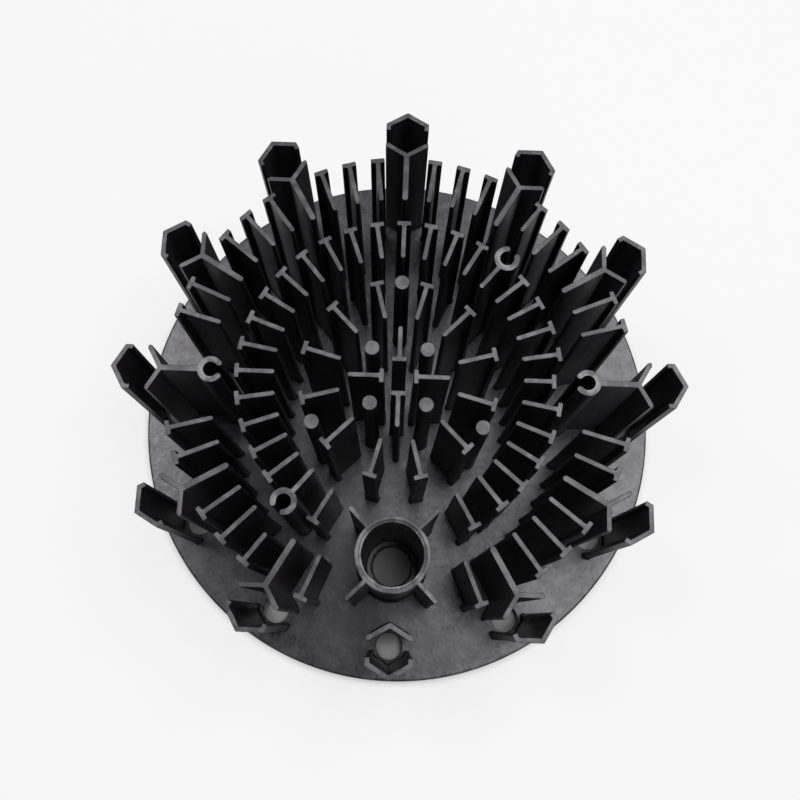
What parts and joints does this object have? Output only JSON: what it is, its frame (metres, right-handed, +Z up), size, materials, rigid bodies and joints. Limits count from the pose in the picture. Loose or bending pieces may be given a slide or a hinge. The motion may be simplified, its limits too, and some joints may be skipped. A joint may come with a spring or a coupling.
{
  "type": "pin fin heat sink",
  "caption": "Round cast heat sink: a flat plate that carries rings of T-section fins, round pins, hexagonal posts over bolt holes, screw bosses and a tall cable tube.",
  "frame": {"origin": "centre of the round plate's flat underside", "axes": "+Z up, out of the plate along the fins; the cable tube stands towards -Y"},
  "size_m": [0.28, 0.28, 0.116],
  "materials": {
    "casting": "satin black coat over die-cast aluminium"
  },
  "bodies": {
    "root": {"heat_sink": "casting"}
  },
  "joints": []
}
